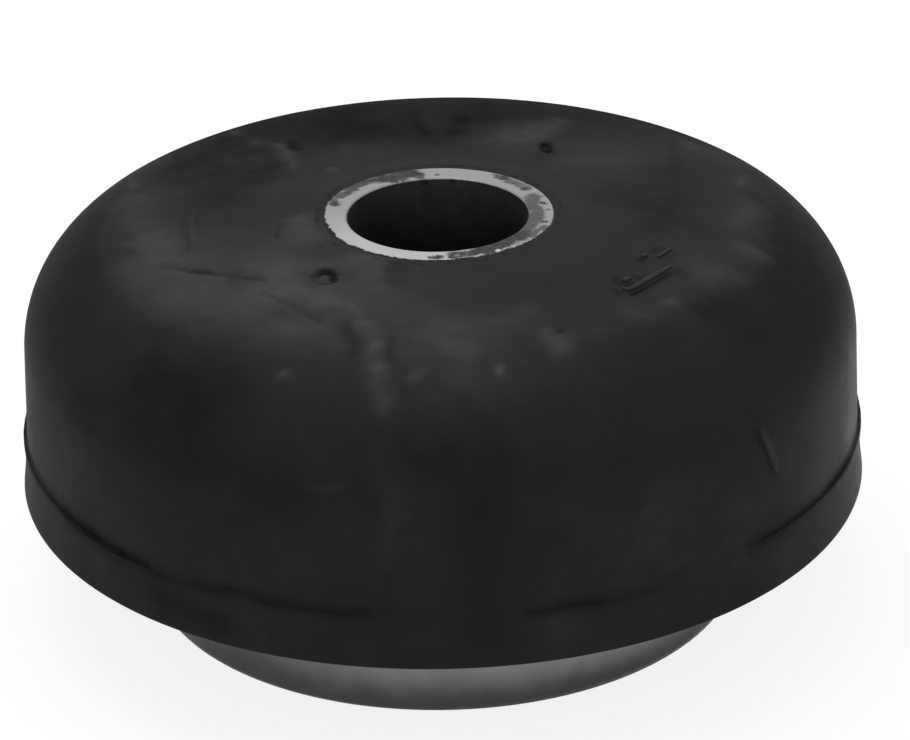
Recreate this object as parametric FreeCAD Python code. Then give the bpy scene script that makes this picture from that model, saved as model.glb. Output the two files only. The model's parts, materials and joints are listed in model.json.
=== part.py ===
"""Bonded rubber engine mount: a thick rubber body moulded on to a steel centre sleeve and spigot ring.

The rubber is one moulding with a nearly flat crown, a large rounded shoulder, a drafted side wall, a thin
flash lip where the mould halves parted, and a short foot band that widens down to the flat seat. Below the
seat a plain steel ring stands out of the rubber and drops into the hole of the frame bracket. The engine
bolt passes through the centre sleeve, which ends flush with the crown.

Millimetres. +Z is up along the bolt. The origin is the centre of the spigot ring's lower face.
"""

import FreeCAD
import Part

import math
import os

# Centre sleeve: a cut length of steel tube.
bore_diameter = 23.0
sleeve_wall = 3.5
sleeve_recess = 1.0  # its lower end stops this far above the spigot ring's lower face
sleeve_chamfer = 0.4  # outer edge of both ends
bore_edge_break = 0.2  # inner edge of both ends

# Spigot ring: a turned steel ring, its upper end buried in the rubber.
spigot_diameter = 76.8
spigot_wall = 4.0
spigot_drop = 15.3  # how far it stands below the seat
spigot_buried = 5.0  # how far it reaches up into the rubber
spigot_step = 0.5  # the buried end is turned down this much in radius, so the mould can close on the spigot
spigot_foot_round = 1.0  # outer lower edge
spigot_chamfer = 0.5  # both inner edges and the buried outer edge

# Rubber body, from the crown down.
body_height = 35.0  # seat to crown
washer_land_diameter = 42.0  # flat of the crown round the sleeve
crown_fall = 2.3  # degrees, from the land out to the shoulder
crown_blend = 150.0  # radius between the land and the falling crown
shoulder_radius = 15.2
wall_diameter = 107.0  # at the parting line
wall_draft = 1.9  # degrees, narrowing upwards
parting_height = 7.1  # parting line above the seat
lip_overhang = 0.55  # flash lip beyond the wall
lip_thickness = 1.0
lip_edge_round = 0.22
lip_root_fillet = 0.2
band_offset = 0.1  # the foot band starts this far outside the wall, under the lip
foot_diameter = 108.6  # lower corner of the foot band
foot_round = 0.4

# Underside of the rubber, inside the spigot ring.
web_recess = 2.5  # rubber stops this far above the ring's lower face
dish_depth = 5.0  # annular hollow between the ring and the sleeve
dish_round = 9.0

bore_radius = bore_diameter / 2
sleeve_radius = bore_radius + sleeve_wall
spigot_radius = spigot_diameter / 2
spigot_bore_radius = spigot_radius - spigot_wall
wall_radius = wall_diameter / 2
seat_z = spigot_drop
crown_z = seat_z + body_height
parting_z = seat_z + parting_height


def crossing(a, a_degrees, b, b_degrees):
    """Where the line through a at one angle from the r axis crosses the line through b at another."""
    ar, az = math.cos(math.radians(a_degrees)), math.sin(math.radians(a_degrees))
    br, bz = math.cos(math.radians(b_degrees)), math.sin(math.radians(b_degrees))
    along = ((b[0] - a[0]) * bz - (b[1] - a[1]) * br) / (ar * bz - az * br)
    return (a[0] + along * ar, a[1] + along * az)


def vector(point):
    return FreeCAD.Vector(point[0], 0, point[1])


def corner_edges(before, corner, after, radius):
    """The two ends and the edge of one corner's round, which touches both of its straight sides."""
    here, back, ahead = vector(corner), vector(before), vector(after)
    to_back, to_ahead = (back - here).normalize(), (ahead - here).normalize()
    half_angle = to_back.getAngle(to_ahead) / 2
    reach = radius / math.tan(half_angle)
    bisector = (to_back + to_ahead).normalize()
    middle = here + bisector * (radius / math.sin(half_angle) - radius)
    start, end = here + to_back * reach, here + to_ahead * reach
    return start, end, Part.Arc(start, middle, end).toShape()


def chamfer_edges(before, corner, after, leg):
    """The two ends and the edge of one corner's chamfer."""
    here, back, ahead = vector(corner), vector(before), vector(after)
    start = here + (back - here).normalize() * leg
    end = here + (ahead - here).normalize() * leg
    return start, end, Part.LineSegment(start, end).toShape()


def revolved(corners):
    """A ring from a closed outline of (r, z, finish, size), where finish is 'sharp', 'round' or 'chamfer'."""
    ends, finishes = [], []
    for number, (r, z, finish, size) in enumerate(corners):
        before = corners[number - 1][:2]
        after = corners[(number + 1) % len(corners)][:2]
        if finish == "sharp" or size <= 0:
            ends.append((vector((r, z)), vector((r, z))))
            finishes.append(None)
            continue
        make = corner_edges if finish == "round" else chamfer_edges
        start, end, edge = make(before, (r, z), after, size)
        ends.append((start, end))
        finishes.append(edge)
    edges = []
    for number, finish_edge in enumerate(finishes):
        if finish_edge is not None:
            edges.append(finish_edge)
        side_start, side_end = ends[number][1], ends[(number + 1) % len(ends)][0]
        if side_start.distanceToPoint(side_end) > 1e-6:
            edges.append(Part.LineSegment(side_start, side_end).toShape())
    outline = Part.Wire(Part.__sortEdges__(edges))
    return Part.Face(outline).revolve(FreeCAD.Vector(0, 0, 0), FreeCAD.Vector(0, 0, 1), 360)


def make_sleeve():
    """The centre sleeve, with chamfered outer edges and a light break on the bore."""
    return revolved(
        [
            (bore_radius, sleeve_recess, "chamfer", bore_edge_break),
            (sleeve_radius, sleeve_recess, "chamfer", sleeve_chamfer),
            (sleeve_radius, crown_z, "chamfer", sleeve_chamfer),
            (bore_radius, crown_z, "chamfer", bore_edge_break),
        ]
    )


def make_spigot_ring():
    """The spigot ring, with a rounded edge to lead it into the bracket and a turned-down buried end."""
    buried_radius = spigot_radius - spigot_step
    return revolved(
        [
            (spigot_bore_radius, 0, "chamfer", spigot_chamfer),
            (spigot_radius, 0, "round", spigot_foot_round),
            (spigot_radius, seat_z, "sharp", 0),
            (buried_radius, seat_z, "sharp", 0),
            (buried_radius, seat_z + spigot_buried, "chamfer", spigot_chamfer),
            (spigot_bore_radius, seat_z + spigot_buried, "chamfer", spigot_chamfer),
        ]
    )


def make_rubber_body(sleeve, spigot_ring):
    """The moulding: its outline reaches halfway into both steel parts, whose own solids are then cut out."""
    inside_sleeve = bore_radius + sleeve_wall / 2
    inside_ring = spigot_bore_radius + spigot_wall / 2
    lip_top, lip_bottom = parting_z + lip_thickness / 2, parting_z - lip_thickness / 2
    lip_radius = wall_radius + lip_overhang
    wall_foot = (wall_radius, lip_top)
    land_edge = (washer_land_diameter / 2, crown_z)
    shoulder = crossing(land_edge, -crown_fall, wall_foot, 90 + wall_draft)
    dish_middle = (sleeve_radius + spigot_bore_radius) / 2
    blank = revolved(
        [
            (inside_sleeve, crown_z, "sharp", 0),
            (*land_edge, "round", crown_blend),
            (*shoulder, "round", shoulder_radius),
            (*wall_foot, "round", lip_root_fillet),
            (lip_radius, lip_top, "round", lip_edge_round),
            (lip_radius, lip_bottom, "round", lip_edge_round),
            (wall_radius + band_offset, lip_bottom, "round", lip_root_fillet),
            (foot_diameter / 2, seat_z, "round", foot_round),
            (inside_ring, seat_z, "sharp", 0),
            (inside_ring, web_recess, "sharp", 0),
            (spigot_bore_radius, web_recess, "sharp", 0),
            (dish_middle, web_recess + dish_depth, "round", dish_round),
            (sleeve_radius, web_recess, "sharp", 0),
            (inside_sleeve, web_recess, "sharp", 0),
        ]
    )
    return blank.cut(sleeve).cut(spigot_ring)


def save(name, shape):
    """Writes one piece as its own STEP file, after checking that it is one closed solid."""
    solids = shape.Solids
    if len(solids) != 1 or not solids[0].isValid():
        raise ValueError(f"{name} is not one valid solid")
    solids[0].exportStep(os.path.join("parts", name + ".step"))
    print(f"{name}: {solids[0].Volume / 1000:.2f} cm3")


os.makedirs("parts", exist_ok=True)
centre_sleeve = make_sleeve()
outer_ring = make_spigot_ring()
save("centre_sleeve", centre_sleeve)
save("spigot_ring", outer_ring)
save("rubber_body", make_rubber_body(centre_sleeve, outer_ring))
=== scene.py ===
import json
import math

import bmesh
import bpy
import numpy
from mathutils import Matrix, Vector, bvhtree, noise

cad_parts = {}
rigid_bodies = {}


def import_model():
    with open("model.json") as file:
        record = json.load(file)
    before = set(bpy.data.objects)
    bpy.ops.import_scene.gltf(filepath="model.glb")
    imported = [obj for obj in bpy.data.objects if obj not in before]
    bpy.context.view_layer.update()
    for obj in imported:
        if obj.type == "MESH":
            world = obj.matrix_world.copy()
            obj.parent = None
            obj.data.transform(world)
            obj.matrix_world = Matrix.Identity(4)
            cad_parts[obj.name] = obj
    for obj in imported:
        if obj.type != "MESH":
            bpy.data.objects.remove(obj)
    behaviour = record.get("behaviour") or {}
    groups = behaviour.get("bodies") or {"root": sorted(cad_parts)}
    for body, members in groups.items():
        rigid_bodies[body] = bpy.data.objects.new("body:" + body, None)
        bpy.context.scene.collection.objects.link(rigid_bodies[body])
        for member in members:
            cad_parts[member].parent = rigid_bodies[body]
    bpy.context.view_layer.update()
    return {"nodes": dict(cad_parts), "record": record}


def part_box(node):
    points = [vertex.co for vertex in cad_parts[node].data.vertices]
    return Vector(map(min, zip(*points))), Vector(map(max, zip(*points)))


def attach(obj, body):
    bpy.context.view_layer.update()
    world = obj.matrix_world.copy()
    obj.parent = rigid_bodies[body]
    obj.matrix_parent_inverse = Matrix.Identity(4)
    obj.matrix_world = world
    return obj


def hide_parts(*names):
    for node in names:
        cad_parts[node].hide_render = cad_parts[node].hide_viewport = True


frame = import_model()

mm = 0.001  # every setting below is in millimetres or degrees, and lists of points are (x, y)

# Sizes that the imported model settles.
mounts = {mount["name"]: mount for mount in frame["record"]["mounts"]}
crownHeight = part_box("rubber_body")[1].z / mm
seatHeight = mounts["seat_face"]["pos_m"][2] / mm
spigotRadius = mounts["spigot"]["dims"]["r_mm"]
boreRadius = mounts["bolt_bore"]["dims"]["r_mm"]
sleeveRadius = (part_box("centre_sleeve")[1].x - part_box("centre_sleeve")[0].x) / 2 / mm
print("frame loaded: crown at", round(crownHeight, 2), "mm, seat at", round(seatHeight, 2), "mm")


class Wire:
    # An output socket. Operators add Math nodes, or Vector Math nodes where the socket is a vector.
    def __init__(self, bench, socket):
        self.bench = bench
        self.socket = socket

    def inOrder(self, operation, *values):
        # the operation on these values alone, in this order
        kind = "ShaderNodeVectorMath" if self.socket.type == "VECTOR" else "ShaderNodeMath"
        return self.bench.node(kind, {"operation": operation}, values)

    def maths(self, operation, *others):
        return self.inOrder(operation, self, *others)

    def __add__(self, other):
        return self.maths("ADD", other)

    def __sub__(self, other):
        return self.maths("SUBTRACT", other)

    def __mul__(self, other):
        return self.maths("MULTIPLY", other)

    def __truediv__(self, other):
        return self.maths("DIVIDE", other)

    def __rsub__(self, other):
        return self.inOrder("SUBTRACT", other, self)

    def __neg__(self):
        return self.maths("MULTIPLY", -1.0)

    __radd__ = __add__
    __rmul__ = __mul__

    def out(self, name):
        # another output of the same node
        return Wire(self.bench, self.socket.node.outputs[name])

    def scaled(self, factor):
        inputs = {"Vector": self, "Scale": factor}
        return self.bench.node("ShaderNodeVectorMath", {"operation": "SCALE"}, inputs)

    def dot(self, other):
        return self.bench.node("ShaderNodeVectorMath", {"operation": "DOT_PRODUCT"}, [self, other], "Value")

    def length(self):
        return self.bench.node("ShaderNodeVectorMath", {"operation": "LENGTH"}, [self], "Value")

    def larger(self, other):
        return self.maths("MAXIMUM", other)

    def smaller(self, other):
        return self.maths("MINIMUM", other)

    def clamped(self):
        return self.larger(0.0).smaller(1.0)

    def rising(self, low, high):
        # 0 below low, 1 above high, smooth between them
        return self.bench.node(
            "ShaderNodeMapRange", {"interpolation_type": "SMOOTHSTEP"},
            {"Value": self, "From Min": low, "From Max": high})

    def falling(self, low, high):
        return 1 - self.rising(low, high)

    def hump(self, middle, half, soft):
        # 1 within half of the middle, fading out over soft
        return (self - middle).maths("ABSOLUTE").falling(half, half + soft)


class Bench:
    # Adds nodes to one shader or geometry tree.
    def __init__(self, tree):
        self.tree = tree

    def node(self, kind, settings=None, inputs=(), output=0):
        made = self.tree.nodes.new(kind)
        for name, value in (settings or {}).items():
            setattr(made, name, value)
        for key, value in inputs.items() if isinstance(inputs, dict) else enumerate(inputs):
            if isinstance(value, Wire):
                self.tree.links.new(value.socket, made.inputs[key])
            else:
                made.inputs[key].default_value = value
        return Wire(self, made.outputs[output])

    def noise(self, place, scale, detail=3.0, roughness=0.5, distortion=0.0):
        # runs from 0 to 1, about 0.5
        return self.node("ShaderNodeTexNoise", {}, {
            "Vector": place, "Scale": scale, "Detail": detail, "Roughness": roughness,
            "Distortion": distortion})

    def swing(self, place, scale, detail=3.0, roughness=0.5, distortion=0.0):
        # the same noise about 0
        return self.noise(place, scale, detail, roughness, distortion) - 0.5

    def vector(self, x, y, z):
        return self.node("ShaderNodeCombineXYZ", {}, [x, y, z])

    def parts(self, vector):
        first = self.node("ShaderNodeSeparateXYZ", {}, [vector])
        return first, first.out("Y"), first.out("Z")

    def tint(self, factor, low, high):
        # a colour between low and high
        colours = [value if isinstance(value, Wire) else (*value, 1.0) for value in (low, high)]
        inputs = {0: factor, 6: colours[0], 7: colours[1]}
        return self.node("ShaderNodeMix", {"data_type": "RGBA"}, inputs, 2)

    def between(self, factor, low, high):
        # a value between low and high
        return self.node("ShaderNodeMix", {"data_type": "FLOAT"}, {0: factor, 2: low, 3: high})

    def stored(self, name):
        # an attribute that the mesh carries
        return self.node("ShaderNodeAttribute", {"attribute_name": name}, (), "Fac")


class Place:
    # A point of the part in millimetres, whole, by its parts and in polar form.
    def __init__(self, bench, position):
        self.whole = position.scaled(1 / mm)
        self.x, self.y, self.z = bench.parts(self.whole)
        self.radius = bench.vector(self.x, self.y, 0.0).length()
        self.outwards = bench.vector(self.x / self.radius, self.y / self.radius, 0.0)


def towards(direction, degrees):
    # cosine of the turn between a direction and an azimuth
    return direction.dot((math.cos(math.radians(degrees)), math.sin(math.radians(degrees)), 0.0))


def sector(direction, degrees, reach, soft):
    # 1 within reach degrees of an azimuth, fading over soft degrees
    outer, inner = reach + soft, max(reach - soft, 0.0)
    return towards(direction, degrees).rising(math.cos(math.radians(outer)), math.cos(math.radians(inner)))


def distanceToLine(bench, point, start, end):
    # from a flat point to the nearest one between start and end
    run = Vector(end) - Vector(start)
    fromStart = point - (*start, 0.0)
    share = fromStart.dot((*(run / run.length_squared), 0.0)).clamped()
    return (fromStart - bench.vector(run.x * share, run.y * share, 0.0)).length()


def grey(shade, coolness=0.0):
    # a neutral colour, turned a little to blue
    return (shade * (1 - coolness), shade, shade * (1 + coolness))


def newMaterial(name, ior, metallic):
    # a Principled material, its bench, the place on the part and a function that feeds its sockets
    material = bpy.data.materials.new(name)
    material.use_nodes = True
    bench = Bench(material.node_tree)
    shader = material.node_tree.nodes["Principled BSDF"]
    shader.inputs["IOR"].default_value = ior
    shader.inputs["Metallic"].default_value = metallic

    def feed(colour, roughness, height):
        # height is in millimetres
        bump = bench.node("ShaderNodeBump", {}, {"Strength": 1.0, "Distance": mm, "Height": height})
        for socket, wire in (("Base Color", colour), ("Roughness", roughness), ("Normal", bump)):
            bench.tree.links.new(wire.socket, shader.inputs[socket])

    return material, bench, Place(bench, bench.node("ShaderNodeTexCoord", {}, (), "Object")), feed


rubberFinish = {
    "black": (0.0178, 0.0177, 0.0202),
    # the dust colour also paints the highlights, and the bare one the painted shade and shadow
    "dust": (0.054, 0.0538, 0.058),
    "bare": (0.0015, 0.0015, 0.0018),
    "ior": 1.10,
    "roughness": 0.54,
    "mottleRough": 0.14,
    "bareRough": 0.12,
    "farRough": 0.46,  # the far side of the crown is duller, the right of the wall smoother
    "rightSmooth": 0.12,
    "clouds": (0.11, 4.0, 0.6, 0.5),  # a noise: scale, detail, roughness, distortion
    "mottle": (0.42, 3.0, 0.6, 0.3),
    "grain": (1.6, 3.0, 0.65),
    "cloudTone": 0.42,
    "mottleTone": 0.22,
    "mottleHeight": 0.035,
    "grainHeight": 0.012,
    "dustHeight": 0.02,
    # how dark the painted shade in the folds and on the steep side of the shoulder is
    "foldDark": 0.5,
    "steepDark": 0.55,
    "collarDark": 0.5,  # a broken line of painted shadow round the sleeve, this far out, wandering by so much
    "collarGap": 0.35,
    "collarWander": 1.2,
}


def rubberMaterial():
    settings = rubberFinish
    material, bench, at, feed = newMaterial("mouldedRubber", settings["ior"], 0.0)
    clouds = bench.swing(at.whole, *settings["clouds"])
    mottle = bench.swing(at.whole, *settings["mottle"])
    grain = bench.swing(at.whole, *settings["grain"])
    onCrown = at.z.rising(crownHeight - 9.0, crownHeight - 2.0)

    # dust and handling marks, with the painted shade and highlights stored beside them in the mesh, get their
    # ragged edges here
    tone = bench.stored("stain") * (1.0 + mottle * 0.9 + grain * 0.4)
    tone = tone + clouds * settings["cloudTone"] + mottle * settings["mottleTone"]
    light, dark = tone.larger(0.0), (-tone).larger(0.0)

    # painted shade in the folds and pits, a broken line of painted shadow round the sleeve, and painted shade
    # on the steep side of the shoulder; the pits lose their dust and their nubs are made lighter
    pit = bench.stored("pit")
    line = sleeveRadius + settings["collarGap"] + clouds * settings["collarWander"]
    sleeveShadow = at.radius.hump(line, 0.10, 0.55) * onCrown * mottle.rising(-0.08, 0.16)
    shoulderShade = at.z.rising(34.0, 43.0) * at.z.falling(crownHeight - 2.2, crownHeight - 0.7)
    shoulderShade = shoulderShade * at.y.rising(-42.0, -8.0)
    dark = dark.larger(bench.stored("crease") * settings["foldDark"]).larger(pit)
    dark = dark.larger(sleeveShadow * settings["collarDark"]).larger(shoulderShade * settings["steepDark"])
    light = (light * (1 - pit.larger(0.0))).larger(-pit)

    colour = bench.tint(light.smaller(1.0), settings["black"], settings["dust"])
    colour = bench.tint(dark.smaller(1.0), colour, settings["bare"])
    height = grain * settings["grainHeight"] + mottle * settings["mottleHeight"]
    height = height + light * settings["dustHeight"]
    far = at.y.rising(20.0, 38.0) * onCrown
    right = at.x.rising(34.0, 49.0) * at.z.falling(36.0, 44.0)
    roughness = settings["roughness"] + mottle * settings["mottleRough"] + dark * settings["bareRough"]
    feed(colour, roughness + far * settings["farRough"] - right * settings["rightSmooth"], height)
    return material


sleeveFinish = {
    "bright": grey(0.41, 0.005),
    "dull": grey(0.272, 0.012),
    "brightSide": -108,
    "pepper": grey(0.16),
    "film": (0.010, 0.010, 0.011),
    "roughness": 0.40,
    "raggedRough": 0.2,
    "filmRough": 0.25,
    "broad": (0.35, 2.0, 0.5),  # a noise: scale, detail, roughness
    "ragged": (1.0, 3.0, 0.6),
    "sideways": (0.9, 4.0, 0.65),
    "fine": (3.2, 3.0, 0.6),
    "scratches": (1.0, 4.0, 0.6),
    "boreTop": (0.155, 0.155, 0.163),
    "boreDeep": (0.012, 0.012, 0.013),
    "boreFade": 22.0,  # how far down the bore's painted shade gets its darkest
    "scrapes": [(98.5, 1.8), (80, 1.5)],  # dark scrapes at the top of the bore: azimuth, reach
    "stainCoolness": 0.01,
    "smears": [  # stains on the end: from, to, reach, shade
        ((-2.9, 13.4), (-7.2, 12.4), 1.20, 0.005),
        ((-2.6, 12.2), (-6.6, 10.9), 1.00, 0.006),
        ((-6.5, 12.2), (-10.6, 9.6), 1.20, 0.006),
        ((-10.0, 10.2), (-12.4, 6.4), 0.90, 0.030),
        ((-12.7, 6.6), (-13.3, 4.6), 0.60, 0.060),
        ((8.0, 11.4), (9.2, 9.9), 0.75, 0.045),
        ((9.0, 10.4), (11.5, 7.6), 0.70, 0.090),
        ((12.1, 5.0), (12.5, -1.5), 1.15, 0.060),
        ((12.4, -1.0), (9.9, -7.2), 1.35, 0.060),
        ((10.4, -6.8), (5.6, -11.4), 1.60, 0.012),
        ((11.8, -7.2), (13.4, -5.0), 0.75, 0.060),
        ((6.6, -11.6), (1.9, -12.9), 1.20, 0.014),
        ((4.6, 14.3), (4.9, 14.2), 0.35, 0.060),
    ],
    "spots": [  # small marks on top of them: centre, reach, shade
        ((-13.1, 3.8), 0.85, 0.006),
        ((-9.4, 11.2), 0.50, 0.002),
        ((-6.4, 12.9), 0.50, 0.060),
        ((-3.2, 12.9), 0.55, 0.002),
        ((-8.2, 10.6), 0.45, 0.060),
        ((-3.2, 11.1), 0.65, 0.300),
        ((8.6, 11.0), 0.80, 0.012),
        ((11.2, 7.3), 0.62, 0.012),
        ((9.8, 9.2), 0.35, 0.040),
        ((13.4, 2.7), 0.48, 0.006),
        ((13.9, 0.6), 0.32, 0.010),
        ((13.4, -3.1), 0.50, 0.006),
        ((8.4, -9.8), 0.55, 0.002),
        ((4.9, -12.2), 0.60, 0.002),
        ((3.6, -12.4), 0.30, 0.080),
        ((2.3, -12.8), 0.45, 0.150),
        ((0.05, 12.6), 0.34, 0.030),
        ((-0.9, -13.4), 0.55, 0.040),
        ((-0.1, -13.2), 0.66, 0.001),
        # a painted glint at the outer edge
        ((7.4, -11.7), 0.38, 0.500),
    ],
    "filmEdge": 14.8,  # where the rubber film stops, and how far it creeps over the front
    "filmCreep": 0.75,
    "filmSide": -112,
}


def boreColour(bench, at):
    # painted shade, darker with depth, with the scrapes at the top
    settings = sleeveFinish
    depth = at.z.rising(crownHeight - settings["boreFade"], crownHeight - 1.0)
    colour = bench.tint(depth, settings["boreDeep"], settings["boreTop"])
    scraped = 0.0
    for azimuth, reach in settings["scrapes"]:
        scraped = sector(at.outwards, azimuth, reach, reach).larger(scraped)
    return bench.tint(
        scraped * at.z.rising(crownHeight - 1.3, crownHeight - 0.5) * 0.55, colour, settings["boreDeep"])


def sleeveMaterial():
    settings = sleeveFinish
    material, bench, at, feed = newMaterial("cutSteelTube", 1.5, 1.0)
    broad = bench.swing(at.whole, *settings["broad"])
    ragged = bench.swing(at.whole, *settings["ragged"])
    sideways = bench.swing(at.whole + (31.0, 7.0, 0.0), *settings["sideways"])
    fine = bench.swing(at.whole, *settings["fine"])

    facing = towards(at.outwards, settings["brightSide"]).rising(0.1, 1.0)
    level = (facing + broad * 0.35 + ragged * 0.25).clamped()
    colour = bench.tint(level, settings["dull"], settings["bright"])

    # the noises bend the outlines of the stains
    warped = bench.vector(at.x + ragged * 1.9 + broad * 1.4, at.y + sideways * 2.1 - broad * 1.2, 0.0)
    for start, end, reach, shade in settings["smears"]:
        cover = distanceToLine(bench, warped, start, end).falling(reach * 0.45, reach * 1.25)
        cover = (cover * (1.0 + sideways * 0.9)).smaller(1.0)
        colour = bench.tint(cover, colour, grey(shade, settings["stainCoolness"]))
    nudged = bench.vector(at.x + ragged * 1.0 + fine * 0.9, at.y + sideways * 1.3 - fine * 0.5, 0.0)
    for middle, reach, shade in settings["spots"]:
        cover = (nudged - (*middle, 0.0)).length().falling(reach * 0.4, reach * 1.35)
        colour = bench.tint(cover, colour, grey(shade, settings["stainCoolness"]))
    colour = bench.tint((ragged + fine).rising(0.16, 0.34) * 0.35, colour, settings["pepper"])

    creep = towards(at.outwards, settings["filmSide"]).rising(-0.45, 0.75) * settings["filmCreep"]
    edge = at.radius + creep + (ragged * 1.5 + fine * 0.8) * (0.22 + creep * 0.75)
    film = edge.rising(settings["filmEdge"] - 0.06, settings["filmEdge"] + 0.10)
    film = film * at.z.rising(crownHeight - 1.0, crownHeight - 0.6)
    colour = bench.tint(film, colour, settings["film"])
    inBore = at.radius.falling(boreRadius + 0.02, boreRadius + 0.12)
    colour = bench.tint(inBore, colour, boreColour(bench, at))

    onEnd = at.z.rising(crownHeight - 0.45, crownHeight - 0.15)
    rings = at.outwards.scaled(2.0) + bench.vector(0.0, 0.0, at.radius * 5.0)
    scratches = bench.swing(rings, *settings["scratches"])
    height = (scratches * 0.02 + ragged * 0.05 + fine * 0.02) * onEnd + film * 0.10
    roughness = settings["roughness"] + film * settings["filmRough"] + ragged * settings["raggedRough"]
    feed(colour, roughness, height)
    return material


ringFinish = {
    # lit and shaded copies of the steel, between which the ring's painted light runs
    "bright": (0.250, 0.247, 0.243),
    "dark": (0.056, 0.056, 0.058),
    "darkBelow": 1.0,  # painted light: the ring gets brighter between these heights
    "brightAbove": 8.2,
    # the side painted brighter
    "brightSide": -64,
    "roughness": 0.46,
    "stainRough": 0.2,
    "stains": (1.0, 4.0, 0.6),  # a noise: scale, detail, roughness
    "clouds": (0.22, 3.0, 0.55),
    "turning": (1.0, 3.0, 0.65),
    "turningHeight": 0.02,
    "cloudHeight": 0.04,
}


def ringMaterial():
    settings = ringFinish
    material, bench, at, feed = newMaterial("turnedSteelRing", 1.5, 1.0)
    stain = bench.swing(at.outwards.scaled(7.0) + bench.vector(0.0, 0.0, at.z * 0.08), *settings["stains"])
    cloud = bench.swing(at.whole, *settings["clouds"])

    # painted light: brighter towards the top and on one side, a little darker just under the rubber
    level = (at.z + cloud * 1.8).rising(settings["darkBelow"], settings["brightAbove"])
    level = level * (1 - at.z.rising(4.8, 6.6) * 0.14)
    facing = towards(at.outwards, settings["brightSide"]).rising(0.35, 1.0)
    level = level * (0.60 + facing * 0.50) + stain * 0.50 * level + cloud * 0.12
    # painted shade: less bright on the left, and least at its far end
    level = level * (1 - at.x.falling(-6.0, 4.0) * 0.12) * (1 - at.x.falling(-24.5, -20.5) * 0.42)
    colour = bench.tint(level.clamped(), settings["dark"], settings["bright"])

    around = bench.vector(at.z * 4.5, at.radius * 4.5, 0.0) + at.outwards.scaled(0.25)
    turning = bench.swing(around, *settings["turning"])
    height = turning * settings["turningHeight"] + cloud * settings["cloudHeight"]
    feed(colour, settings["roughness"] + stain * settings["stainRough"], height)
    return material


rubberBody = {
    "sleeveChamfer": 0.4,
    "landRadius": 21.0,
    "crownFall": 2.3,
    "crownBlend": 150.0,
    "shoulderRadius": 15.2,
    "wallRadius": 53.5,
    "wallDraft": 1.9,
    "partingHeight": 7.1,
    "lipOverhang": 0.55,
    "lipThickness": 1.0,
    "lipEdge": 0.22,
    "lipRoot": 0.2,
    "bandOffset": 0.1,
    "footRadius": 54.285,
    "footRound": 0.4,
    "ringStep": 0.5,
    "ringWall": 4.0,
    "ringBuried": 5.0,
    "webRecess": 2.5,
    "dishDepth": 5.0,
    "dishRound": 9.0,
    "step": 0.62,  # longest side along the visible outline
    "fineStep": 0.25,  # the same for the part of the crown with the pits, out to fineTo
    "fineTo": 27.4,
    "hiddenStep": 1.5,
    "footStep": 3.0,
    "segments": 500,
    "creaseAngle": 38,  # a sharper edge than this isn't shaded smooth
    "unevenness": 0.09,
    "broadWaves": (0.045, 2.0, 0.5),  # a noise: scale, detail, roughness
    "middleWaves": (0.16, 2.0, 0.5),
    "lipWander": 0.16,
    "lipWaves": (0.35, 4.0, 0.65),
    "trims": [  # where the lip was cut closer: azimuth, reach, depth
        (-115, 20, 0.36), (-86, 9, 0.55), (-74, 4, 0.34), (-58, 13, 0.50), (62, 20, 0.30),
    ],
    "trimSoft": 6,
    "bareEdge": 0.10,  # how far the rubber stops short of the sleeve's end, away from coveredSide
    "coveredSide": -170,
    "foldDepth": 0.16,
    "foldWaves": (0.22, 2.0),
    "foldRidge": 0.35,  # how much less the skin sinks on the ridge beside a fold
    "gates": [  # pits where the rubber was fed in: centre, half width, half length, depth, nub, painted shade
        ((-13.95, -18.0), (1.75, 2.30), 0.42, 0.30, 0.85),
        ((14.35, 21.3), (0.85, 1.75), 0.34, 0.12, 0.70),
    ],
    "gateWaves": (0.75, 3.0, 0.6),
    # the side where the painted shade in a pit is darkest, and how much lighter its nub is made
    "gateDarkSide": 52,
    "nubDust": 0.35,
    "seed": 7,
}
partingHeight = seatHeight + rubberBody["partingHeight"]


def crownAt(radius):
    drop = max(0.0, radius - rubberBody["landRadius"]) * math.tan(math.radians(rubberBody["crownFall"]))
    return crownHeight - drop


def roundCorner(before, corner, after, radius, step):
    # points of the arc that rounds one corner
    here = Vector(corner)
    back, ahead = (Vector(before) - here).normalized(), (Vector(after) - here).normalized()
    half = back.angle(ahead) / 2
    reach = radius / math.tan(half)
    middle = here + (back + ahead).normalized() * (radius / math.sin(half))
    start, end = here + back * reach - middle, here + ahead * reach - middle
    turn = start.angle_signed(end)
    count = max(3, math.ceil(radius * abs(turn) / step))
    return [middle + Matrix.Rotation(-turn * number / count, 2) @ start for number in range(count + 1)]


def outlinePoints(corners):
    # a closed outline from (radius, height, round, step of the side that follows), where a step of 0
    # leaves the side whole
    stretches = []
    for number, (radius, height, roundness, step) in enumerate(corners):
        before, after = corners[number - 1][:2], corners[(number + 1) % len(corners)][:2]
        if roundness:
            arcStep = min(step or 1.0, roundness / 3)
            stretches.append(roundCorner(before, (radius, height), after, roundness, arcStep))
        else:
            stretches.append([Vector((radius, height))])
    points = []
    for number, stretch in enumerate(stretches):
        points += stretch
        step = corners[number][3]
        side = stretches[(number + 1) % len(stretches)][0] - stretch[-1]
        pieces = max(1, math.ceil(side.length / step)) if step else 1
        points += [stretch[-1] + side * share / pieces for share in range(1, pieces)]
    return points


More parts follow.
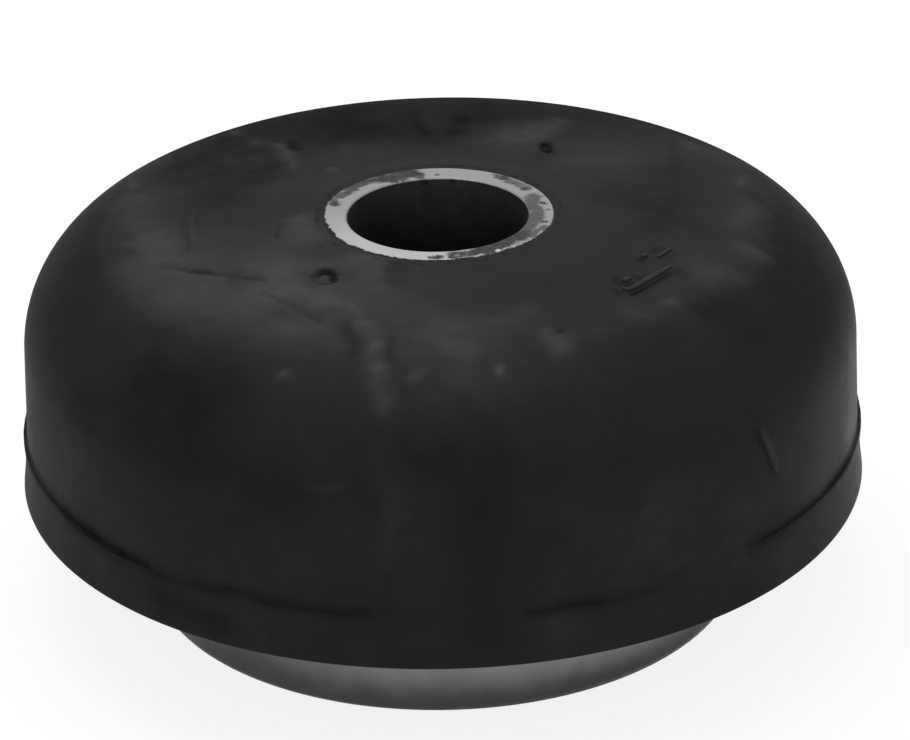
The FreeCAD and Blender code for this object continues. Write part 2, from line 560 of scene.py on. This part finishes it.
def rubberOutline():
    size = rubberBody
    step, hiddenStep = size["step"], size["hiddenStep"]
    fall, draft = math.radians(size["crownFall"]), math.radians(size["wallDraft"])
    lipTop = partingHeight + size["lipThickness"] / 2
    lipFoot = partingHeight - size["lipThickness"] / 2
    # the falling crown and the drafted wall meet at the shoulder's corner
    rise = (crownHeight - lipTop - (size["wallRadius"] - size["landRadius"]) * math.tan(fall)) / (
        1 - math.tan(draft) * math.tan(fall))
    shoulder = (size["wallRadius"] - rise * math.tan(draft), lipTop + rise)
    lipRadius = size["wallRadius"] + size["lipOverhang"]
    ringInside = spigotRadius - size["ringWall"]
    buried = spigotRadius - size["ringStep"]
    dishMiddle = (sleeveRadius + ringInside) / 2
    chamfer = size["sleeveChamfer"]
    return outlinePoints([
        (sleeveRadius, crownHeight - chamfer, 0, 0),
        (sleeveRadius - chamfer + 0.02, crownHeight, 0, step / 2),
        (size["landRadius"], crownHeight, size["crownBlend"], size["fineStep"]),
        (size["fineTo"], crownAt(size["fineTo"]), 0, step),
        (*shoulder, size["shoulderRadius"], step),
        (size["wallRadius"], lipTop, size["lipRoot"], 0),
        (lipRadius, lipTop, size["lipEdge"], 0),
        (lipRadius, lipFoot, size["lipEdge"], 0),
        (size["wallRadius"] + size["bandOffset"], lipFoot, size["lipRoot"], step),
        (size["footRadius"], seatHeight, size["footRound"], size["footStep"]),
        (spigotRadius, seatHeight, 0, 0),
        (buried, seatHeight, 0, 0),
        (buried, seatHeight + size["ringBuried"], 0, 0),
        (ringInside, seatHeight + size["ringBuried"], 0, 0),
        (ringInside, size["webRecess"], 0, hiddenStep),
        (dishMiddle, size["webRecess"] + size["dishDepth"], size["dishRound"], hiddenStep),
        (sleeveRadius, size["webRecess"], 0, 0),
    ])


def pathMesh(name, paths, closed=False):
    # a mesh of bare edges through lists of points, given in millimetres
    mesh = bpy.data.meshes.new(name)
    vertices, edges = [], []
    for path in paths:
        first = len(vertices)
        vertices += [Vector(point) * mm for point in path]
        edges += [(first + number, first + number + 1) for number in range(len(path) - 1)]
        if closed:
            edges.append((len(vertices) - 1, first))
    mesh.from_pydata(vertices, edges, [])
    return mesh


def smoothPath(points, pieces=8):
    # a Catmull-Rom curve through a few (x, y) points
    given = [Vector((x, y, 0.0)) for x, y in points]
    ends = [given[0] * 2 - given[1], *given, given[-1] * 2 - given[-2]]
    path = []
    for number in range(1, len(ends) - 2):
        p0, p1, p2, p3 = ends[number - 1:number + 3]
        for share in range(pieces):
            t = share / pieces
            path.append(0.5 * (2 * p1 + (p2 - p0) * t + (2 * p0 - 5 * p1 + 4 * p2 - p3) * t * t
                               + (3 * p1 - p0 - 3 * p2 + p3) * t ** 3))
    return path + [given[-1]]


foldPaths = [  # folds that the flowing rubber left in the crown
    [(-33.6, -13.0), (-31.8, -13.9), (-29.5, -15.0), (-26.0, -16.4), (-21.4, -18.1)],
    [(-21.4, -21.9), (-19.2, -24.0), (-17.0, -26.4), (-15.5, -28.3), (-14.2, -30.0)],
]


def lathed(bench, outline, segments):
    # a grid of one column for each turn, each column a copy of the outline, closed up all round
    count = bench.node("GeometryNodeAttributeDomainSize", {"component": "MESH"}, [outline], "Point Count")
    rows = count + 1
    grid = bench.node("GeometryNodeMeshGrid", {}, {"Vertices X": segments + 1, "Vertices Y": rows})
    index = bench.node("GeometryNodeInputIndex")
    column = ((index + 0.5) / rows).maths("FLOOR")
    row = index - column * rows
    row = row - count * row.maths("GREATER_THAN", count - 0.5)
    sampled = bench.node("GeometryNodeSampleIndex", {"data_type": "FLOAT_VECTOR", "domain": "POINT"}, {
        "Geometry": outline, "Value": bench.node("GeometryNodeInputPosition"), "Index": row + 0.1})
    radius, _, height = bench.parts(sampled)
    angle = column * (-2 * math.pi) / segments
    placed = bench.vector(radius * angle.maths("COSINE"), radius * angle.maths("SINE"), height)
    body = bench.node("GeometryNodeSetPosition", {}, {"Geometry": grid, "Position": placed})
    return bench.node("GeometryNodeMergeByDistance", {}, {"Geometry": body, "Distance": 0.001 * mm})


def lipTrim(bench, at, grained, wander):
    # the flash lip was trimmed by hand, so its edge wanders, but never in past the wall or the band
    size = rubberBody
    halfLip = size["lipThickness"] / 2
    below = at.z.falling(partingHeight - halfLip, partingHeight + halfLip) * size["bandOffset"]
    proud = (at.radius - below - size["wallRadius"] - 0.02).larger(0.0)
    trimmed = bench.noise(grained, *size["lipWaves"]) * wander
    for azimuth, reach, depth in size["trims"]:
        trimmed = trimmed.larger(sector(at.outwards, azimuth, reach, size["trimSoft"]) * depth)
    return trimmed.smaller(proud) * at.z.hump(partingHeight, halfLip, 0.2)


def sleeveGap(at, waves):
    # away from one side the rubber stops short of the sleeve's end
    covered = towards(at.outwards, rubberBody["coveredSide"]).rising(-1.0, -0.1) + (waves - 0.5) * 0.6
    edge = at.radius.falling(sleeveRadius - 0.2, sleeveRadius - 0.1)
    edge = edge * at.z.rising(crownHeight - 0.15, crownHeight - 0.05)
    return edge * (1 - covered.clamped()) * rubberBody["bareEdge"]


def flowFolds(bench, at, grained, onTop, paths):
    # narrow valleys, each beside a soft ridge: where the valleys are, which also sets their painted shade,
    # and how far the skin sinks
    lines = bench.node("GeometryNodeObjectInfo", {}, {"Object": paths}, "Geometry")
    away = bench.node("GeometryNodeProximity", {"target_element": "EDGES"}, {
        "Target": lines, "Source Position": bench.vector(at.x, at.y, 0.0).scaled(mm)}, "Distance") / mm
    patchy = bench.noise(grained, *rubberBody["foldWaves"]).rising(0.3, 0.62)
    valley = away.falling(0.05, 0.90) * onTop * (0.30 + patchy * 0.70)
    ridge = away.hump(1.9, 0.2, 1.4) * onTop
    return valley, valley + (1 - ridge) * rubberBody["foldRidge"] * onTop


def feedPits(bench, at, grained, onTop):
    # ragged hollows with a torn nub in the middle: how far the skin sinks, and the painted shade in each
    # hollow, with its nub made lighter
    size = rubberBody
    uneven = bench.swing(grained, *size["gateWaves"])
    sunk, dark = 0.0, 0.0
    for (middleX, middleY), (halfWidth, halfLength), depth, nubHeight, shade in size["gates"]:
        local = bench.vector((at.x - middleX) / halfWidth, (at.y - middleY) / halfLength, 0.0)
        out = local.length()
        away = out + uneven * 0.7
        hollow, nub = away.falling(0.78, 1.12) * onTop, away.falling(0.15, 0.62) * onTop
        # the painted shade is darkest on one side of the hollow
        side = (towards(local, size["gateDarkSide"]) / (out + 0.05)).rising(-0.35, 0.55)
        sunk = sunk + hollow * depth - nub * nubHeight
        dark = dark + (hollow - nub) * (0.22 + side * 0.78) * shade - nub * size["nubDust"]
    return sunk, dark


def latheTree():
    tree = bpy.data.node_groups.new("latheAndSoften", "GeometryNodeTree")
    kinds = {
        "Outline": "Geometry", "Segments": "Int", "Unevenness": "Float", "Lip Wander": "Float",
        "Folds": "Object", "Fold Depth": "Float", "Seed": "Int", "Finish": "Material"}
    for label, kind in kinds.items():
        tree.interface.new_socket(label, in_out="INPUT", socket_type="NodeSocket" + kind)
    tree.interface.new_socket("Body", in_out="OUTPUT", socket_type="NodeSocketGeometry")
    bench = Bench(tree)
    given = bench.node("NodeGroupInput")
    body = lathed(bench, given.out("Outline"), given.out("Segments"))

    # the moulding's skin lies a little in from true, but meets the steel where it should
    at = Place(bench, bench.node("GeometryNodeInputPosition"))
    grained = bench.vector(at.x, at.y, at.z + given.out("Seed") * 31.0)
    broad = bench.noise(grained, *rubberBody["broadWaves"])
    middle = bench.noise(grained, *rubberBody["middleWaves"])
    clear = at.radius.rising(sleeveRadius + 0.3, sleeveRadius + 4.0)
    clear = clear * at.z.rising(seatHeight + 0.2, seatHeight + 2.5)
    sink = (broad * 0.7 + middle * 0.3) * given.out("Unevenness") * clear

    onTop = at.z.rising(crownHeight - 4.0, crownHeight - 2.5)
    valley, folded = flowFolds(bench, at, grained, onTop, given.out("Folds"))
    pitted, pitShade = feedPits(bench, at, grained, onTop)
    inwards = sink + folded * given.out("Fold Depth") * clear + pitted
    outwards = sleeveGap(at, middle) - lipTrim(bench, at, grained, given.out("Lip Wander"))
    normal = bench.node("GeometryNodeInputNormal")
    offset = normal.scaled(inwards * -mm) + at.outwards.scaled(outwards * mm)
    body = bench.node("GeometryNodeSetPosition", {}, {"Geometry": body, "Offset": offset})
    # the painted shade of the folds and pits is kept in the mesh
    for name, value in (("crease", valley), ("pit", pitShade)):
        body = bench.node(
            "GeometryNodeStoreNamedAttribute", {"data_type": "FLOAT", "domain": "POINT"},
            {"Geometry": body, "Name": name, "Value": value})

    sharp = bench.node("GeometryNodeInputMeshEdgeAngle")
    sharp = sharp.maths("GREATER_THAN", math.radians(rubberBody["creaseAngle"]))
    body = bench.node(
        "GeometryNodeSetShadeSmooth", {"domain": "FACE"}, {"Geometry": body, "Shade Smooth": True})
    body = bench.node(
        "GeometryNodeSetShadeSmooth", {"domain": "EDGE"},
        {"Geometry": body, "Selection": sharp, "Shade Smooth": False})
    body = bench.node("GeometryNodeRealizeInstances", {}, [body])
    body = bench.node("GeometryNodeSetMaterial", {}, {"Geometry": body, "Material": given.out("Finish")})
    result = tree.nodes.new("NodeGroupOutput")
    tree.links.new(body.socket, result.inputs["Body"])
    return tree


def grown(name, startMesh, tree, settings):
    # runs a geometry tree on a start mesh and keeps the result as a plain mesh
    piece = bpy.data.objects.new(name, startMesh)
    bpy.context.scene.collection.objects.link(piece)
    modifier = piece.modifiers.new("growth", "NODES")
    modifier.node_group = tree
    identifiers = {item.name: item.identifier for item in tree.interface.items_tree if item.in_out == "INPUT"}
    for label, value in settings.items():
        modifier[identifiers[label]] = value
    graph = bpy.context.evaluated_depsgraph_get()
    mesh = bpy.data.meshes.new_from_object(piece.evaluated_get(graph), depsgraph=graph)
    piece.modifiers.remove(modifier)
    piece.data = mesh
    return piece


crownStainsAndShade = [  # on the crown: from (x, y), to (x, y), reach, and tone: dusty above 0, dark below; some dark ones are painted shade
    ((-34, -10), (-14, -27), 15.0, 0.32),
    ((-34, -16), (-28, -26), 8.0, 0.22),
    ((-20, -13), (-22, -22), 5.5, 0.32),
    ((-18, -22), (-12.5, -23.5), 4.2, 0.40),
    ((-17, -13), (-10, -14), 3.0, 0.25),
    ((-18, -31), (-15, -32.5), 3.0, 0.30),
    ((-10.4, -25.8), (-8.8, -31), 1.5, 0.26),
    ((-8.8, -31), (-7.9, -36), 1.5, 0.34),
    ((-7.9, -36), (-7.3, -41.5), 1.7, 0.34),
    ((-7.2, -41.5), (-7.0, -46), 2.0, 0.38),
    ((-6, -24), (4, -40), 9.0, 0.16),
    ((-8.5, -20), (-9, -14), 3.5, 0.28),
    ((-18.3, -40.3), (-18.4, -40.2), 0.9, 0.60),
    ((-3.5, -43), (-2.5, -42), 1.4, 0.40),
    ((-40, 8), (-38, -6), 4.0, 0.25),
    ((-36, -4), (-33, -10), 4.0, 0.30),
    ((-17, -6), (-17.5, -2), 3.6, 0.50),
    # these two: painted shade in a fold
    ((-30.3, -15), (-28.8, -15.2), 1.3, -0.60),
    ((-25, -17.3), (-23, -18), 1.5, -0.35),
    # partly painted shade on the shoulder
    ((-33, -36), (-27, -39.5), 7.0, -0.45),
    ((-5, -20), (-6, -16), 3.0, -0.20),
    ((-10.9, -31), (-10.0, -38), 1.2, -0.35),
    ((-5.8, -34.5), (-5.8, -40), 0.7, -0.30),
    ((-32.6, 3), (-31.2, -8), 0.8, -0.35),
    ((-30.6, 3), (-30.0, -4), 0.6, -0.25),
    ((-19.6, -2), (-20.0, -6), 0.7, -0.30),
    ((14.5, -37.5), (13.8, -35.2), 2.2, 0.46),
    ((12.8, -33.5), (12.9, -33.3), 1.3, 0.40),
    ((14.5, -33.4), (14.6, -33.3), 0.8, -0.50),
    ((7.0, -42.6), (7.0, -42.0), 0.8, 0.90),
    ((8, -31), (10, -28), 3.5, 0.20),
    ((2, -31), (1, -43), 5.5, 0.28),
    ((33.5, -17), (35, -20), 4.5, 0.28),
    ((37.8, -9.5), (40, -11.5), 2.2, 0.34),
    ((27.6, -26.2), (28.2, -25.8), 1.6, 0.45),
    ((23.5, -30), (23, -29), 2.6, 0.22),
    ((33, -27.5), (35, -24), 4.5, -0.40),
    ((30, -18.5), (30, -19), 2.2, -0.25),
    ((42, -20), (38, -28), 4.5, -0.25),
    # these three: painted shadow beside the raised marks
    ((23.5, -24.0), (29.1, -17.0), 0.7, -0.80),
    ((21.3, -20.6), (22.6, -21.4), 0.8, -0.50),
    ((28.0, -14.0), (29.3, -12.2), 0.5, -0.50),
    ((-30, 20), (-28, 6), 9.0, -0.46),
    ((-23, 22), (-22, 17.5), 3.0, -0.35),
    ((-12, 32), (-4, 26), 9.0, -0.52),
    ((-26, 26), (-20, 28), 9.0, -0.30),
    ((6, 36), (2, 24), 6.0, -0.30),
    ((-36, 18), (-34, 26), 7.0, -0.30),
    ((-19.4, 25.6), (-18.4, 23), 1.3, -0.70),
    ((-27.5, 31.5), (-27, 30), 2.0, 0.42),
    ((-27, 30), (-23.5, 26.3), 1.6, 0.22),
    ((-23.5, 26.3), (-20.2, 24.8), 1.5, 0.26),
    ((-20.2, 24.8), (-18.6, 17), 1.7, 0.50),
    ((-40.2, 18.5), (-39.2, 13.4), 1.1, 0.60),
    ((-14, 15.8), (-13.6, 15.2), 1.2, 0.35),
    ((-3, 35), (-2.2, 27), 1.2, -0.30),
    ((3, 33), (2.6, 27), 2.0, -0.28),
    ((11, 26), (15.5, 30), 4.2, 0.42),
    ((17, 18), (23, 17), 4.0, 0.20),
    ((33.3, 23.6), (33.8, 22.2), 1.8, 0.45),
    ((39.2, 10.0), (39.8, 13.4), 1.2, 0.45),
    ((40, 5), (38.5, -3), 2.8, 0.32),
    ((31, 12), (28.5, -5), 8.0, -0.28),
    ((27, 2), (22, 6), 6.0, -0.22),
    ((34, -30), (20, -36), 8.0, -0.12),
    ((31, 25), (31, 15), 0.9, -0.25),
    ((42, 6), (43, -9), 4.0, -0.50),
    ((-42.5, 5), (-41, -9), 4.0, -0.28),
    ((-13, 25), (-23, 13), 5.0, -0.34),
    ((34, 26), (40, 16), 4.0, -0.25),
    # these six: painted shadows beside the raised marks
    ((21.6, -19.5), (21.7, -19.4), 0.8, -0.6),
    ((24.2, -19.2), (24.3, -19.5), 0.8, -0.6),
    ((23.2, -21.2), (23.6, -21.2), 0.7, -0.6),
    ((24.6, -14.6), (24.9, -14.2), 0.9, -0.6),
    ((26.6, -12.0), (27.4, -11.0), 0.8, -0.6),
    ((21.9, -24.0), (21.3, -22.6), 0.8, -0.4),
    ((20, -16), (12, -22), 8.0, -0.10),
    # painted shade in the small pit
    ((14.4, 19.8), (14.2, 22.8), 1.2, -0.70),
    ((13, 17.5), (16, 20), 3.0, -0.20),
]

wallStainsAndPaintedLight = [  # on the wall: from (azimuth, height), to (azimuth, height), reach, tone; some are painted shadow and painted reflection
    ((-154, 39.5), (-112, 37.5), 6.5, -0.28),
    ((-84, 41), (-85, 18), 6.0, -0.22),
    ((-94, 42.5), (-89, 41.5), 3.0, -0.24),
    ((-146, 30), (-154, 27), 8.0, 0.12),
    ((-62, 33), (-60, 28), 9.0, 0.13),
    ((-50, 27), (-46, 24), 6.0, 0.10),
    ((-96, 38), (-97, 30), 2.5, 0.12),
    ((-107.5, 38), (-103, 38.3), 0.8, 0.22),
    ((-97.2, 27.6), (-97.5, 24.4), 0.5, -0.20),
    ((-130, 20), (-120, 18), 3.0, -0.30),
    ((-143, 19), (-141, 19), 2.6, 0.18),
    ((-76, 19.5), (-74, 18.5), 2.6, 0.10),
    ((-40, 19.5), (-36, 19), 2.6, 0.15),
    # these five: the lip's darker cut edge and painted shadow along it
    ((-151, 22.5), (-137, 22.0), 1.6, -0.50),
    ((-136, 22.2), (-100, 22.3), 1.1, -0.44),
    ((-79, 22.1), (-70, 21.9), 1.1, -0.42),
    ((-70, 21.8), (-62, 21.5), 0.9, -0.25),
    ((-46, 22.3), (-18, 22.4), 1.5, -0.34),
    # painted reflection near the wall's right edge
    ((-14, 38), (-15, 25), 5.5, 0.50),
    ((-38, 31), (-28, 27), 7.0, 0.15),
    # painted shadow left of the scar
    ((-44.5, 37.3), (-41.3, 30.6), 0.55, -0.60),
    # these two: painted reflection near the wall's left edge
    ((-170, 35), (-169, 25), 4.5, 0.34),
    ((-176, 27), (-171, 24.5), 3.0, 0.30),
    # painted reflection near the wall's right edge
    ((-15, 27), (-11, 24.5), 3.5, 0.60),
]

lipCutAndShade = [  # how dark the lip is, by azimuth: the torn edge's own darker rubber and painted shadow along the lip
    (-180, 0.25), (-165, 0.34), (-136, 0.34), (-132, 0.18), (-104, 0.12), (-94, 0.0), (-79, 0.0),
    (-77, 0.14), (-70, 0.12), (-66, 0.04), (-50, 0.02), (-44, 0.12), (-15, 0.12), (0, 0.2), (60, 0.2),
    (120, 0.2), (180, 0.25),
]

stainAndLightWander = {
    "broadSize": 7.0,
    "smallSize": 2.2,
    "broadShare": 0.50,  # of a stain's reach, and the most in millimetres
    "broadMost": 3.2,
    "smallShare": 0.30,
    "smallMost": 1.2,
    "unevenness": 0.7,
    "falloff": 2.4,
    "seed": 7,
}


def stainAndLightSum(stains, across, up, stretch, broad, small):
    # the sum of the stains and painted light and shade at each point, where stretch is the length of one unit
    # across
    settings = stainAndLightWander
    total = numpy.zeros(len(up))
    for start, end, reach, strength in stains:
        # a stain wanders from its line, the more so the wider it is
        bend = broad * min(reach * settings["broadShare"], settings["broadMost"])
        bend = bend + small * min(reach * settings["smallShare"], settings["smallMost"])
        beside = across + bend[:, 0] - start[0] * stretch
        above = up + bend[:, 1] - start[1]
        runAcross, runUp = (end[0] - start[0]) * stretch, end[1] - start[1]
        share = (beside * runAcross + above * runUp) / (runAcross ** 2 + runUp ** 2)
        share = numpy.clip(share, 0.0, 1.0)
        away = numpy.hypot(beside - runAcross * share, above - runUp * share)
        uneven = 1.0 + bend[:, 2] / reach * settings["unevenness"]
        total += strength * numpy.exp(-settings["falloff"] * (away / reach) ** 2) * uneven
    return total


def stainAndLightMesh(mesh):
    # keeps the sum of the stains and the painted light and shade at each point as an attribute
    place = numpy.empty(len(mesh.vertices) * 3)
    mesh.vertices.foreach_get("co", place)
    place = place.reshape(-1, 3) / mm
    x, y, z = place.T
    radius, turn = numpy.hypot(x, y), numpy.degrees(numpy.arctan2(y, x))
    perDegree = math.radians(rubberBody["wallRadius"])
    noise.seed_set(stainAndLightWander["seed"])
    broad = numpy.array([noise.noise_vector(Vector(point) / stainAndLightWander["broadSize"]) for point in place])
    small = numpy.array([noise.noise_vector(Vector(point) / stainAndLightWander["smallSize"]) for point in place])

    onCrown = numpy.clip((z - 37.0) / 7.0, 0.0, 1.0)
    onWall = numpy.clip((radius - 45.0) / 3.0, 0.0, 1.0)
    onLip = (radius > rubberBody["wallRadius"] + 0.16) * (abs(z - partingHeight) < 0.52)
    # the lip's darker cut edge and painted shadow along it
    azimuths, darkness = zip(*lipCutAndShade)
    tone = -1.5 * numpy.interp(turn + broad[:, 2] * 4.0, azimuths, darkness)
    tone = tone * (1.0 + small[:, 0] * 0.5) * onLip
    tone += stainAndLightSum(crownStainsAndShade, x, y, 1.0, broad, small) * onCrown
    tone += stainAndLightSum(wallStainsAndPaintedLight, turn * perDegree, z, perDegree, broad, small) * onWall
    layer = mesh.attributes.new("stain", "FLOAT", "POINT")
    layer.data.foreach_set("value", tone)


def makeRubberBody(finish):
    points = [(point.x, 0.0, point.y) for point in rubberOutline()]
    outline = pathMesh("rubberOutline", [points], closed=True)
    foldLines = pathMesh("foldGuides", [smoothPath(path) for path in foldPaths])
    folds = bpy.data.objects.new("foldGuides", foldLines)
    bpy.context.scene.collection.objects.link(folds)
    body = grown("rubberBody", outline, latheTree(), {
        "Segments": rubberBody["segments"], "Unevenness": rubberBody["unevenness"],
        "Lip Wander": rubberBody["lipWander"], "Folds": folds, "Fold Depth": rubberBody["foldDepth"],
        "Seed": rubberBody["seed"], "Finish": finish})
    bpy.data.objects.remove(folds)
    stainAndLightMesh(body.data)
    print("rubber body:", len(body.data.polygons), "faces")
    return body


ridgeSection = [  # across a ridge: share of the half width, share of the height
    (-1.1, -0.9), (-1.0, -0.15), (-0.78, 0.40), (-0.42, 0.86), (0.0, 1.0), (0.42, 0.86), (0.78, 0.40),
    (1.0, -0.15), (1.1, -0.9),
]


def addRidge(build, tone, skin, path, width, height, crest, foot, lean=0.0):
    # a rounded ridge along a path on the skin, narrowing at both ends: the crest tone is a painted highlight
    # along its top, the foot tone painted shade along its right edge, and lean moves the top to the right
    points, normals = [], []
    for place in path:
        nearest, normal, _, _ = skin.find_nearest(place * mm)
        points.append(nearest / mm)
        normals.append(normal)
    rings = []
    last = len(points) - 1
    for number, (point, normal) in enumerate(zip(points, normals)):
        along = (points[min(number + 1, last)] - points[max(number - 1, 0)]).normalized()
        across = along.cross(normal)
        share = 2 * number / last - 1
        size = max(0.15, (1 - share ** 6) ** 0.5) * (1.0 + 0.16 * noise.noise(point * 0.9))
        ring = []
        for aside, lift in ridgeSection:
            leant = aside + lean * (1 - aside * aside)
            place = point + across * (leant * width / 2 * size) + normal * (lift * height * min(size, 1.0))
            vertex = build.verts.new(place * mm)
            vertex[tone] = foot if aside > 0.5 else crest if lift > 0.85 else 0.0
            ring.append(vertex)
        rings.append(ring)
    for ring, following in zip(rings, rings[1:]):
        for number in range(len(ring)):
            after = (number + 1) % len(ring)
            build.faces.new((ring[number], following[number], following[after], ring[after]))
    build.faces.new(rings[0])
    build.faces.new(rings[-1][::-1])


def ridgePiece(name, finish, carrier, ridges):
    skin = bvhtree.BVHTree.FromObject(carrier, bpy.context.evaluated_depsgraph_get())
    build = bmesh.new()
    # the painted highlight and shade of the ridges go with the mesh
    tone = build.verts.layers.float.new("stain")
    for ridge in ridges:
        addRidge(build, tone, skin, *ridge)
    bmesh.ops.recalc_face_normals(build, faces=build.faces)
    for face in build.faces:
        face.smooth = len(face.verts) == 4
    mesh = bpy.data.meshes.new(name)
    build.to_mesh(mesh)
    build.free()
    mesh.materials.append(finish)
    piece = bpy.data.objects.new(name, mesh)
    bpy.context.scene.collection.objects.link(piece)
    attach(piece, "root")
    print(name + ":", len(mesh.polygons), "faces")
    return piece


raisedMarks = {
    "height": 0.24,
    # the painted highlight along a mark's top and the painted shade along its right edge
    "crest": 0.25,
    "foot": -0.45,
    "marks": [  # path and width: a long bar with a turned foot, a short one beside it, and two pips
        ([(22.3, -22.3), (22.7, -22.7), (23.3, -22.6), (24.2, -21.6), (26.1, -19.2), (27.4, -17.6),
          (28.7, -15.9)], 1.10),
        ([(27.0, -13.8), (27.7, -12.8), (29.0, -10.9)], 0.75),
        ([(22.5, -20.5), (22.9, -20.0), (23.4, -19.4)], 1.15),
        ([(25.2, -13.7), (25.5, -13.2), (25.7, -12.8)], 0.90),
    ],
}


def makeRaisedMarks(finish, carrier):
    size = raisedMarks
    ridges = []
    for path, width in size["marks"]:
        points = [Vector((place.x, place.y, crownAt(place.length))) for place in smoothPath(path, 6)]
        ridges.append((points, width, size["height"], size["crest"], size["foot"]))
    return ridgePiece("raisedMarks", finish, carrier, ridges)


wallScar = {
    "path": [(-43.6, 37.5), (-42.7, 35.6), (-41.7, 33.5), (-40.4, 30.4)],  # (azimuth, height)
    "width": 1.3,
    "height": 0.13,
    # the painted highlight along the scar's top and the painted shade along its right edge
    "crest": 0.30,
    "foot": -0.10,
    "lean": 0.30,
}


def makeWallScar(finish, carrier):
    size = wallScar
    points = []
    for place in smoothPath(size["path"]):
        outwards = Matrix.Rotation(math.radians(place.x), 3, "Z") @ Vector((1, 0, 0))
        points.append(outwards * rubberBody["wallRadius"] + Vector((0, 0, place.y)))
    return ridgePiece("wallScar", finish, carrier, [
        (points, size["width"], size["height"], size["crest"], size["foot"], size["lean"])])


rubber = rubberMaterial()
body = makeRubberBody(rubber)
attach(body, "root")
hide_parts("rubber_body")
makeRaisedMarks(rubber, body)
makeWallScar(rubber, body)

for node, finish in (("centre_sleeve", sleeveMaterial()), ("spigot_ring", ringMaterial())):
    steel = frame["nodes"][node]
    for place in steel.material_slots:
        place.material = finish
print("steel finished")


studio = {
    "floorSize": 6000.0,
    "floorDrop": 0.05,
    "floorColour": (0.86, 0.86, 0.86),
    "floorGlow": 0.8,  # how much of the floor's white shows without light, so that the shadow stays soft
    "floorWhite": 1.06,
    "worldLight": 0.72,
    "topLight": {"size": 900.0, "height": 1100.0, "power": 5.5, "lean": (-150.0, 250.0)},
}

cameraView = {
    "elevation": 25.97,
    "roll": 1.154,
    "distance": 512.66,
    "lens": 160.56,
    "right": 2.173,  # how far the aim lies to the right of the crown's centre
    "below": 19.736,  # and below it, across the line of sight
}


def whiteForCamera(bench):
    # what the camera and mirrors see is white, and everything else is lit as usual
    path = bench.node("ShaderNodeLightPath", {}, (), "Is Camera Ray")
    return path.larger(path.out("Is Glossy Ray")).larger(path.out("Is Transmission Ray"))


def makeFloor():
    half, drop = studio["floorSize"] / 2 * mm, -studio["floorDrop"] * mm
    corners = [(-half, -half, drop), (half, -half, drop), (half, half, drop), (-half, half, drop)]
    mesh = bpy.data.meshes.new("floor")
    mesh.from_pydata(corners, [], [(0, 1, 2, 3)])
    floor = bpy.data.objects.new("floor", mesh)
    bpy.context.scene.collection.objects.link(floor)
    material = bpy.data.materials.new("paleFloor")
    material.use_nodes = True
    bench = Bench(material.node_tree)
    material.node_tree.nodes.remove(material.node_tree.nodes["Principled BSDF"])
    lit = bench.node("ShaderNodeBsdfDiffuse", {}, {"Color": (*studio["floorColour"], 1.0)})
    glow = bench.node("ShaderNodeEmission", {}, {
        "Color": (1.0, 1.0, 1.0, 1.0), "Strength": studio["floorWhite"]})
    seen = whiteForCamera(bench)
    shown = bench.node("ShaderNodeMixShader", {}, [seen * studio["floorGlow"], lit, glow])
    output = material.node_tree.nodes["Material Output"]
    material.node_tree.links.new(shown.socket, output.inputs["Surface"])
    mesh.materials.append(material)


def makeWorld():
    world = bpy.data.worlds.new("studioWorld")
    bpy.context.scene.world = world
    world.use_nodes = True
    bench = Bench(world.node_tree)
    background = world.node_tree.nodes["Background"]
    strength = bench.between(whiteForCamera(bench), studio["worldLight"], 1.0)
    world.node_tree.links.new(strength.socket, background.inputs["Strength"])
    background.inputs["Color"].default_value = (1.0, 1.0, 1.0, 1.0)


def makeTopLight():
    settings = studio["topLight"]
    data = bpy.data.lights.new("topLight", "AREA")
    data.shape = "DISK"
    data.size = settings["size"] * mm
    data.energy = settings["power"]
    light = bpy.data.objects.new("topLight", data)
    light.location = Vector((*settings["lean"], settings["height"])) * mm
    aim = Vector((0, 0, crownHeight * mm)) - light.location
    light.rotation_euler = aim.to_track_quat("-Z", "Y").to_euler()
    bpy.context.scene.collection.objects.link(light)


def makeCamera():
    settings = cameraView
    tilt, roll = math.radians(settings["elevation"]), math.radians(settings["roll"])
    ahead = Vector((0, math.cos(tilt), -math.sin(tilt)))
    level = Vector((1, 0, 0))
    upright = Vector((0, math.sin(tilt), math.cos(tilt)))
    right = level * math.cos(roll) - upright * math.sin(roll)
    up = level * math.sin(roll) + upright * math.cos(roll)
    aim = Vector((0, 0, crownHeight)) + right * settings["right"] - up * settings["below"]
    data = bpy.data.cameras.new("camera")
    data.lens = settings["lens"]
    data.sensor_width = 36.0
    data.clip_start = 0.01
    camera = bpy.data.objects.new("camera", data)
    turn = Matrix((right, up, -ahead)).transposed()
    camera.matrix_world = Matrix.Translation((aim - ahead * settings["distance"]) * mm) @ turn.to_4x4()
    bpy.context.scene.collection.objects.link(camera)
    bpy.context.scene.camera = camera


makeFloor()
makeWorld()
makeTopLight()
makeCamera()
bpy.context.scene.view_settings.view_transform = "Standard"
print("studio and camera ready")
